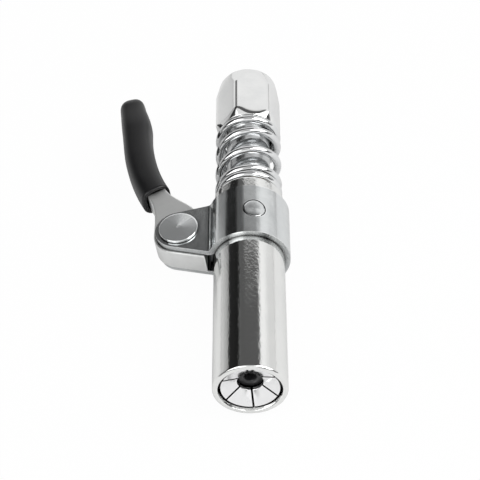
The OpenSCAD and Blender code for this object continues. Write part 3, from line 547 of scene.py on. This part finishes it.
# the spine's two ends: place from the pivot, lean in degrees, and pull as a share of the span
NECK, NECK_LEAN, NECK_PULL = np.array([-6.4, 15.5]), 28, 0.3
TIP, TIP_LEAN, TIP_PULL = np.array([-15.4, 56.1]), 8, 0.46
TANG_W, TANG_END = 5.2, 0.93   # width, and the spine's parameter where the tang ends


def lean(degrees):
    """Direction that leans outwards from the coupler's axis."""
    return np.array([-np.sin(np.radians(degrees)), np.cos(np.radians(degrees))])


def bezier(p, t):
    """A cubic through its end points: (1-t)^3 p0 + 3 t (1-t)^2 p1 + 3 t^2 (1-t) p2 + t^3 p3."""
    t = np.asarray(t)[:, None]
    return (1 - t) ** 3 * p[0] + 3 * t * (1 - t) ** 2 * p[1] + 3 * t * t * (1 - t) * p[2] + t ** 3 * p[3]


def heading(p, t):
    """Unit direction of that cubic."""
    t = np.asarray(t)[:, None]
    d = (1 - t) ** 2 * (p[1] - p[0]) + 2 * t * (1 - t) * (p[2] - p[1]) + t * t * (p[3] - p[2])
    return d / np.linalg.norm(d, axis=1, keepdims=True)


def left_of(d):
    """A quarter turn to the left."""
    return np.stack([-d[..., 1], d[..., 0]], -1)


def crossing(p, d, q, e):
    """Where the line through p along d meets the line through q along e."""
    return p + d * (np.cross(q - p, e) / np.cross(d, e))


span = np.linalg.norm(TIP - NECK)
spine = np.array([NECK, NECK + NECK_PULL * span * lean(NECK_LEAN),
                  TIP - TIP_PULL * span * lean(TIP_LEAN), TIP])
front_angle, swing = touch_angle(ear_front, EAR_R, -1), 2 * HALF_SWING
touch = np.array(on_circle(HUB_R, front_angle))
front_way = lean(front_angle)
corner = touch + front_way * (HUB_REACH - touch[0]) / front_way[0]
swing_corner = np.array([HUB_REACH, HUB_REACH * np.tan(np.radians(HALF_SWING))])
shoulder = swing_corner + (EAR_R - swing_corner[1]) * lean(swing)
out = left_of(heading(spine, [0.0]))[0] * TANG_W / 2
pull = NECK[1] / 3
neck_in = pull * lean(NECK_LEAN)
outer_edge = np.array([(-HUB_R, 0), (-HUB_R, pull), NECK + out - neck_in, NECK + out])
inner_edge = np.array([NECK - out, NECK - out - neck_in, shoulder + pull * lean(swing), shoulder])
t = np.linspace(0, TANG_END, 24)
tang = bezier(spine, t)
tang_out = left_of(heading(spine, t)) * TANG_W / 2
tip_a = np.degrees(np.arctan2(*tang_out[-1][::-1])) - np.linspace(12, 168, 12)
finger_way = np.array(on_circle(1, HALF_SWING))
finger_out = left_of(finger_way) * FINGER_R
finger_a = HALF_SWING + np.linspace(90, -90, 15)
outline = np.concatenate([
    np.stack(on_circle(HUB_R, np.linspace(front_angle, -180, 24)), -1),
    bezier(outer_edge, np.linspace(0, 1, 18)[1:-1]), tang + tang_out,
    tang[-1] + np.stack(on_circle(TANG_W / 2, tip_a), -1), (tang - tang_out)[::-1],
    bezier(inner_edge, np.linspace(0, 1, 20)[1:]),
    crossing(finger_out, finger_way, swing_corner, lean(swing))[None],
    FINGER_ARM * finger_way + np.stack(on_circle(FINGER_R, finger_a), -1),
    crossing(-finger_out, finger_way, swing_corner, lean(0))[None], corner[None]])


def bar(outline, thick, edge, steps=5):
    """A flat bar with round edges: the outline moved in by e (1 - sin a) and lifted from the lower face by
    e (1 - cos a) as a goes a quarter turn, and the same in mirror up to the upper face. Corners move on
    their mitre, (m + n) / max(|m + n|^2 / 2, 0.4) for the two sides' normals m and n."""
    d = np.roll(outline, -1, 0) - outline
    d = d / np.linalg.norm(d, axis=1, keepdims=True)
    normal = left_of(d)
    mitre = normal + np.roll(normal, 1, 0)
    mitre = mitre / np.maximum((mitre * mitre).sum(1, keepdims=True) / 2, 0.4)
    if np.cross(outline, np.roll(outline, -1, 0)).sum() < 0:
        mitre = -mitre
    a = np.linspace(0, np.pi / 2, steps)
    # a ring just inside each round keeps the faces' shading flat
    inset = np.concatenate([[1.3 * edge], edge * (1 - np.sin(a))])
    lift = np.concatenate([[0], edge * (1 - np.cos(a))])
    inset = np.concatenate([inset, inset[::-1]])
    z = np.concatenate([lift - thick / 2, (thick / 2 - lift)[::-1]])
    flat = outline + inset[:, None, None] * mitre
    points = np.concatenate([flat, np.broadcast_to(z[:, None, None], flat.shape[:2] + (1,))], -1)
    return points, sheet_faces(len(z), len(outline), loop_cols=True)[0], end_rings(len(z), len(outline))


points, faces, ends = bar(outline, LEVER_T, LEVER_ROUND)
piece("lever_forging", "lever", points + PIVOT, faces, "handle", lever_steel, ends, sharp=40)


# The rivet: cold headed from steel wire and zinc plated. Its broad head is slightly conical, so that a
# wedge of it shines, with a mark in its middle, and its lower end is closed over the ear.
# Faced steel under zinc: bright, with a chromate film that scatters some of the light.
rivet_steel = metal("faced_rivet_steel", ("#eff1f1", "#e2e5e6"), (0.11, 0.16), (0.5, 0.5, 0.5), 1.5, 2,
                    metallic=0.88)
HEAD_R, HEAD_TOP, CROWN = 5.05, 5.6, 0.3   # the head: radius, height of its middle, rise of its crown
FACE_R, MARK_R, MARK_FLOOR_R, MARK_DEPTH = 4.6, 0.45, 0.3, 0.07   # its face and the mark in its middle
TAIL_R, TAIL_FACE_R, TAIL_EDGE, TAIL_END = 4.0, 2.9, 4.9, 5.6   # the closed end: radii, and depths below
RIVET_SHANK_R, RIVET_SEAT = 2.5, EAR_TOP + SEAT_C
AXIS_R = 0.05   # a hair's breadth from the axis, where the caps close it
RIVET_COLUMNS = 96
profile = rounded([
    (AXIS_R, -TAIL_END), (TAIL_FACE_R, -TAIL_END), (TAIL_R, -TAIL_EDGE), (TAIL_R, -RIVET_SEAT),
    (RIVET_SHANK_R, -RIVET_SEAT), (RIVET_SHANK_R, RIVET_SEAT), (HEAD_R, RIVET_SEAT),
    (HEAD_R, HEAD_TOP - CROWN), (FACE_R, HEAD_TOP - 0.9 * CROWN), (MARK_R, HEAD_TOP),
    (MARK_FLOOR_R, HEAD_TOP - MARK_DEPTH), (AXIS_R, HEAD_TOP - MARK_DEPTH)],
    (0.01, 0.5, 0.25, 0.05, 0.05, 0.05, 0.12, 0.22, 0.01, 0.05, 0.05, 0.01))[3:-3]
f = full_turn(RIVET_COLUMNS)
points = np.stack([profile[:, :1] * np.cos(f), profile[:, :1] * np.sin(f), profile[:, 1:] + 0 * f], -1)
piece("pivot_rivet_steel", "pivot_rivet", points + PIVOT,
      sheet_faces(len(profile), RIVET_COLUMNS, loop_cols=True)[0], "slider", rivet_steel,
      end_rings(len(profile), RIVET_COLUMNS))


# The grip: black vinyl that the warm tang was dipped in. It is thick and round, swells towards its end
# and stands off the steel at its open mouth, where the skin was cut off square.
# Dipped vinyl: black and satin, with a soft pebble and a broad dim highlight.
vinyl, tree, shader = finish("dipped_black_vinyl", Specular_IOR_Level=0.5)
skin = grain(tree, (4, 4, 4), 3.0)
tint = add(tree, "Mix", {"Factor": skin, "A": linear("#09090a"), "B": linear("#101012")}, data_type="RGBA")
tree.links.new(tint.outputs["Result"], shader.inputs["Base Color"])
spread = add(tree, "MapRange", {"Value": skin, "To Min": 0.3, "To Max": 0.42})
tree.links.new(spread.outputs["Result"], shader.inputs["Roughness"])
# the skin's pebble of 0.4 mm is drawn a little coarser than the real one, so that it shows
pebble = add(tree, "Bump", {"Height": grain(tree, (0.4, 0.4, 0.4)), "Strength": 1.0, "Distance": 6e-6})
tree.links.new(pebble.outputs["Normal"], shader.inputs["Normal"])

GRIP_START, INNER_END = 0.03, 0.11   # the spine's parameter at the mouth and at the inner wall's end
GRIP_WALL, LIP_ROLL, INNER_STEP = 1.25, 0.45, 1.2   # mm: skin, how far the lip rolls forward, wall behind it
HALF_W, HALF_T = TANG_W / 2 + GRIP_WALL, LEVER_T / 2 + GRIP_WALL
GRIP_SIDES, SQUARENESS = 56, 0.7   # points of a ring, and its power: 1 is an ellipse, 0 a box
INNER_RINGS, LIP_RINGS, SKIN_RINGS = 5, 6, 69


def grip_ring(at, way, half_out, half_in, half_t):
    """Rings across the spine: half axes a(side) along the ring's own width and b along z, with
    P = at + left a |cos q|^p sign(cos q), z = b |sin q|^p sign(sin q)."""
    q = full_turn(GRIP_SIDES)
    c, s = np.cos(q), np.sin(q)
    wide = np.where(c > 0, half_out[:, None], half_in[:, None]) * np.sign(c) * np.abs(c) ** SQUARENESS
    flat = at[:, None] + left_of(way)[:, None] * wide[..., None]
    z = half_t[:, None] * np.sign(s) * np.abs(s) ** SQUARENESS
    return np.concatenate([flat, z[..., None]], -1)


def along_grip(inner, lip, skin):
    """One value for each ring: along the inner wall to the mouth, round the lip and along the outer skin."""
    counts = (INNER_RINGS, LIP_RINGS, SKIN_RINGS)
    return np.concatenate([np.broadcast_to(v, n) for v, n in zip((inner, lip, skin), counts)])


skin_way = np.linspace(0, 1, SKIN_RINGS + 1)[1:]
lip = np.linspace(np.pi, 0, LIP_RINGS)
lip_r = 0.42 * GRIP_WALL
t = along_grip(np.linspace(INNER_END, GRIP_START, INNER_RINGS), GRIP_START,
               GRIP_START + (TANG_END - GRIP_START) * skin_way)
grow = along_grip(np.linspace(-INNER_STEP, -2 * lip_r, INNER_RINGS), lip_r * (np.cos(lip) - 1), 0)
ahead = along_grip(0, LIP_ROLL * np.sin(lip), 0)
on_skin = along_grip(0, (1 + np.cos(lip)) / 2, 1)
swell = along_grip(0, 0, skin_way)
way = heading(spine, t)
at = bezier(spine, t) - way * ahead[:, None]
# the skin is 0.5 mm fuller on the outside up to its middle, bulges near its end and tapers into the tip
bulge = np.exp(-((swell - 0.88) / 0.15) ** 2)
taper = smooth((swell - 0.78) / 0.22)
fuller = 0.5 * on_skin * (1 - smooth((swell - 0.45) / 0.4))
half_out = HALF_W + grow + fuller + 0.15 * bulge - 0.15 * taper
half_in = HALF_W + grow + 0.75 * bulge - 0.87 * taper
half_t = HALF_T + grow + 0.1 * bulge - 0.35 * taper
# the round end: rings that shrink as they go on along the spine's last direction
cap = np.radians(np.linspace(0, 84, 12))[1:]
cap_at = at[-1] + way[-1] * (0.98 * HALF_W * np.sin(cap))[:, None]
shrink = np.cos(cap) ** 0.9
rings = np.concatenate([
    grip_ring(at, way, half_out, half_in, half_t),
    grip_ring(cap_at, np.repeat(way[-1:], len(cap), 0), half_out[-1] * shrink, half_in[-1] * shrink,
              half_t[-1] * shrink)])
piece("grip_vinyl", "grip", rings + PIVOT, sheet_faces(len(rings), GRIP_SIDES, loop_cols=True)[0], "handle",
      vinyl, end_rings(len(rings), GRIP_SIDES), sharp=60)


# The main spring: bright spring wire between the hexagon and the sleeve, with closed ends. It drives the
# sleeve forward over the jaws, and shortens as the lever draws the sleeve back.
SPRING = (SLEEVE_L, 88.8)   # stations of its ends
main_spring = coil("main_spring_wire", "main_spring", mean_r=7.8, wire_r=1.05, stations=SPRING,
                   turns=(1.4, 2.5, 1.0), start=-226, per_turn=56, sides=18)
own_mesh(main_spring)


# The inlet body: a steel hexagon with turned ends, bored for the stem in front and tapped for the grease
# hose behind. It is milled from bar, chamfered on the lathe and nickel plated, and an O-ring of the seal's
# rubber makes its joint with the stem tight.
dress(rubber, "inlet_o_ring")
# Nickel on milled steel: pale mirrors with faint milling lines and bright scalloped chamfers.
hex_plate = metal("nickel_plated_hexagon", ("#f4f4f3", "#eaebeb"), (0.06, 0.12), (2.5, 0.5, 2.5), 2, 4,
                  wave_um=3)
HEX_N0, HEX_FLAT, HEX_CORNER_R, HEX_TURN = SPRING[1], 8.0, 9.1, 43   # front, half across flats, corners, turn
FRONT_R, FRONT_CHAMFER, REAR_R, REAR_CHAMFER = 7.8, 2.4, 7.9, 5.5   # end faces and lengths of the chamfers
SOCKET_R, SOCKET_N, PASSAGE_R, DRILL_N = 5.22, 95.6, 1.75, 96.5   # stem's socket, passage, drill's tip
THREAD_R, ROOT_R, PITCH, THREAD_L = 4.4, 4.95, 0.941, 10.0   # crests, roots, pitch and length of the thread
LEAD_R, LEAD_IN = 5.3, 0.8   # the countersink in front of it
THREAD_N0, THREAD_N1 = OVERALL - 9.8, OVERALL - 0.85   # stations between which the groove is cut
RUN_IN, RUN_OUT, STEEPNESS, CREST = 0.8, 0.15, 1.25, 0.1   # mm in which it fades; slope of its V, flat crests
EDGE_SOFT, CORNER_SOFT = 0.16, 0.045   # mm over which edges are soft; radians of a corner that are rounded
HEX_COLUMNS = 252
SPLIT_R, FLATS_R = 5.6, 6.5   # radius between outer and inner rows, and that outside which the flats are cut
outer = [(FRONT_R, HEX_N0), (HEX_CORNER_R, HEX_N0 + FRONT_CHAMFER),
         (HEX_CORNER_R, OVERALL - REAR_CHAMFER), (REAR_R, OVERALL), (LEAD_R, OVERALL)]
inner = [(THREAD_R, OVERALL - LEAD_IN), (THREAD_R, OVERALL - THREAD_L), (PASSAGE_R, DRILL_N),
         (PASSAGE_R, SOCKET_N), (SOCKET_R, SOCKET_N), (SOCKET_R, HEX_N0)]
profile = rounded(outer + inner, [0.3, 0.6, 0.6, 0.5, 0.15, 0.02] + [0.1] * 5)
# rows lie close at the chamfers and closer in the thread
outer_rows = with_stations(profile, np.concatenate([
    np.linspace(HEX_N0 + 0.1, HEX_N0 + 2.8, 22), np.linspace(HEX_N0 + 3.1, OVERALL - 5.9, 16),
    np.linspace(OVERALL - 5.6, OVERALL - 0.2, 30)]))
inner_rows = with_stations(profile, np.linspace(THREAD_N0, OVERALL - 0.9, 120))
profile = np.concatenate([outer_rows[outer_rows[:, 0] > SPLIT_R], inner_rows[inner_rows[:, 0] <= SPLIT_R]])
even = full_turn(HEX_COLUMNS)
f = even - 0.09 * np.sin(6 * (even - np.radians(HEX_TURN)))   # closer columns at the corners
r, n = profile[:, :1], profile[:, 1:]
# The flats: r = flat / cos(angle to the nearest flat's middle), joined to the turned shape by a soft
# minimum, -k ln(e^(-a/k) + e^(-b/k)), which rounds the edges between them.
from_flat = (f - np.radians(HEX_TURN)) % (np.pi / 3) - np.pi / 6
worn_corner = np.exp(-((np.abs(from_flat) - np.pi / 6) / CORNER_SOFT) ** 2)
flats = HEX_FLAT / np.cos(from_flat) - 0.9 * EDGE_SOFT * worn_corner
soft = -EDGE_SOFT * np.logaddexp(-r / EDGE_SOFT, -flats / EDGE_SOFT)
# The thread: a helical groove cut outwards from the bore, r = crest + depth w, where w is a V-shaped
# wave of the station over the pitch less the turn, fading in at both ends.
phase = (n / PITCH - f / (2 * np.pi)) % 1
vee = np.clip(STEEPNESS * (1 - np.abs(2 * phase - 1)) - CREST, 0, 1)
groove = vee * smooth((n - THREAD_N0) / RUN_IN) * smooth((THREAD_N1 - n) / RUN_OUT)
bored = np.where(np.abs(r - THREAD_R) < NEAR, r + (ROOT_R - THREAD_R) * groove, r)
points = turned(np.where(r > FLATS_R, soft, bored), n, f)
piece("inlet_hexagon", "inlet_body", points, sheet_faces(len(profile), HEX_COLUMNS, True, True)[0], "core",
      hex_plate)


# The studio: a pale floor that runs into a white surround, two soft lamps, and dark curtains that only
# the polished metal sees, which draw its dark bands.
scene = bpy.context.scene
scene.view_settings.view_transform = "Standard"
SURROUND, WHITENED = 0.6, 0.97   # strength of the surround's light; share of white in the floor that is seen
LEVEL = np.radians(8)   # the camera's level leans by this about the coupler's axis
LEVEL_X, LEVEL_Z = np.array([np.cos(LEVEL), 0, -np.sin(LEVEL)]), np.array([np.sin(LEVEL), 0, np.cos(LEVEL)])


def grey(value):
    """A neutral colour."""
    return value, value, value, 1


def curtain(tree, roll, *stops):
    """A grey that changes with the roll angle about the coupler's axis, from stops of degrees and grey."""
    turn = add(tree, "MapRange", {"Value": roll, "From Min": -np.pi, "From Max": np.pi})
    ramp = add(tree, "ValToRGB", {"Fac": turn.outputs["Result"]})
    ramp.color_ramp.interpolation = "EASE"
    while len(ramp.color_ramp.elements) < len(stops):
        ramp.color_ramp.elements.new(0.5)
    for held, (degrees, value) in zip(ramp.color_ramp.elements, stops):
        held.position, held.color = degrees / 360 + 0.5, grey(value)
    return ramp.outputs["Color"]


def fade(tree, value, first, last, a, b):
    """Goes from colour a to colour b as the value goes from first to last."""
    share = add(tree, "MapRange", {"Value": value, "From Min": first, "From Max": last},
                interpolation_type="SMOOTHSTEP").outputs["Result"]
    return add(tree, "Mix", {"Factor": share, "A": a, "B": b}, data_type="RGBA").outputs["Result"]


world = bpy.data.worlds.new("white_surround")
scene.world = world
world.use_nodes = True
tree = world.node_tree
way = add(tree, "TexCoord").outputs["Generated"]
across, behind, above = (add(tree, "VectorMath", {0: way, 1: axis}, operation="DOT_PRODUCT").outputs["Value"]
                         for axis in (LEVEL_X, (0, 1, 0), LEVEL_Z))
roll = add(tree, "Math", {0: across, 1: above}, operation="ARCTAN2").outputs["Value"]
# behind the coupler, from low to high on the far wall: a black and a grey curtain with a white strip to
# their right, which the sleeve sees; the same, paler, for the strap; and the pale wall above the hexagon
low_wall = curtain(tree, roll, (-180, 0.85), (-100, 0.68), (-74, 0.42), (-67, 0.02), (-37, 0.012),
                   (-31, 0.13), (-27, 0.1), (26, 0.1), (34, 1.0), (42, 1.0), (64, 0.78), (180, 0.85))
mid_wall = curtain(tree, roll, (-180, 0.6), (-100, 0.22), (-74, 0.12), (-64, 0.02), (-42, 0.015),
                   (-32, 0.1), (-17, 0.13), (-13, 0.42), (16, 0.5), (26, 1.0), (70, 0.92), (80, 0.66),
                   (90, 0.88), (180, 0.85))
high_wall = curtain(tree, roll, (-180, 0.9), (-74, 0.82), (-64, 0.03), (-40, 0.03), (-30, 0.13),
                    (-21, 0.15), (-17, 0.95), (56, 0.88), (62, 0.12), (80, 0.12), (88, 0.95), (180, 0.95))
# beside it: a dark curtain on either hand
near_side = curtain(tree, roll, (-180, 0.85), (-100, 0.5), (-84, 0.05), (-46, 0.05), (-40, 0.8), (34, 0.95),
                    (40, 0.06), (78, 0.06), (86, 0.6), (180, 0.85))
# in front: a dark strip on either hand of a white ceiling
front_wall = curtain(tree, roll, (-180, 0.85), (-84, 0.7), (-76, 0.05), (-48, 0.03), (-38, 0.95), (34, 1.0),
                     (42, 0.12), (66, 0.05), (74, 0.75), (180, 0.85))
seen = fade(tree, behind, 0.69, 0.705, low_wall, mid_wall)
seen = fade(tree, behind, 0.722, 0.75, seen, high_wall)
seen = fade(tree, behind, 0.79, 0.81, seen, grey(0.88))
seen = fade(tree, behind, 0.14, 0.02, seen, near_side)
seen = fade(tree, behind, -0.1, -0.3, seen, front_wall)
# above the camera: a dark beam, which draws a line along the spring's wire
seen = fade(tree, behind, -0.27, -0.33, seen, grey(0.04))
seen = fade(tree, behind, -0.5, -0.56, seen, front_wall)
seen = fade(tree, behind, -0.95, -0.98, seen, grey(1))
sight = add(tree, "LightPath")
glance = add(tree, "Mix", {"Factor": sight.outputs["Is Glossy Ray"], "A": grey(1), "B": seen},
             data_type="RGBA")
lit = tree.nodes["Background"]
lit.inputs["Color"].default_value = grey(1)
lit.inputs["Strength"].default_value = SURROUND
clear = add(tree, "Background", {"Color": glance.outputs["Result"], "Strength": 1.0})
looked = add(tree, "Math", {0: sight.outputs["Is Camera Ray"], 1: sight.outputs["Is Glossy Ray"]},
             operation="MAXIMUM")
both = add(tree, "MixShader", {0: looked.outputs["Value"], 1: lit.outputs[0], 2: clear.outputs[0]})
tree.links.new(both.outputs[0], tree.nodes["World Output"].inputs["Surface"])

# White paper: a pale floor, which the camera sees as plain white, with a faint shadow of the object.
paper, tree, shader = finish("white_paper_floor", Base_Color=linear("#dadada"), Roughness=0.9)
glow = add(tree, "Emission", {"Color": grey(1), "Strength": 1.0})
sight = add(tree, "LightPath")
part = add(tree, "Math", {0: sight.outputs["Is Camera Ray"], 1: WHITENED}, operation="MULTIPLY")
both = add(tree, "MixShader", {0: part.outputs["Value"], 1: shader.outputs[0], 2: glow.outputs[0]})
tree.links.new(both.outputs[0], tree.nodes["Material Output"].inputs["Surface"])
FLOOR_HALF, FLOOR_Z = 3.0, float(cad_box[0][2])   # metres
corners = np.array([(-1, -1, 0), (1, -1, 0), (1, 1, 0), (-1, 1, 0)]) * FLOOR_HALF + (0, 0, FLOOR_Z)
sheet = bpy.data.meshes.new("paper_floor")
sheet.from_pydata(corners.tolist(), [], [(0, 1, 2, 3)])
sheet.materials.append(paper)
floor = bpy.data.objects.new("paper_floor", sheet)
scene.collection.objects.link(floor)

CENTRE, LAMP_SIZE, LAMP_DISTANCE = np.array([0, -0.055, 0]), 0.7, 0.9   # metres; the coupler's middle


def lamp(name, azimuth, elevation, watts):
    """A soft square lamp that looks at the coupler, from an azimuth that runs from +y towards the camera's
    right and an elevation above its level, both in degrees."""
    light = bpy.data.lights.new(name, "AREA")
    light.size, light.energy = LAMP_SIZE, watts
    obj = bpy.data.objects.new(name, light)
    scene.collection.objects.link(obj)
    a, e = np.radians(azimuth), np.radians(elevation)
    back = np.sin(a) * np.cos(e) * LEVEL_X + (0, np.cos(a) * np.cos(e), 0) + np.sin(e) * LEVEL_Z
    right = np.cross((0, 0, 1), back)
    right /= np.linalg.norm(right)
    turn = np.eye(4)
    turn[:3, :3] = np.stack([right, np.cross(back, right), back], 1)
    turn[:3, 3] = CENTRE + LAMP_DISTANCE * back
    obj.matrix_world = Matrix(turn.tolist())


lamp("key_lamp", 105, 50, 6)
lamp("fill_lamp", -130, 40, 3)

# The camera stands in front of the nozzle, to its right and high, and is rolled a little.
CAMERA_AT, CAMERA_TURN = (0.03499, -0.32547, 0.27541), (43.8263, 7.8130, -0.0961)   # metres, degrees
camera = bpy.data.cameras.new("camera")
camera.lens, camera.sensor_width, camera.clip_start = 112.575, 36.0, 0.01
eye = bpy.data.objects.new("camera", camera)
scene.collection.objects.link(eye)
eye.matrix_world = Matrix.LocRotScale(CAMERA_AT, Euler(np.radians(CAMERA_TURN)), None)
scene.camera = eye
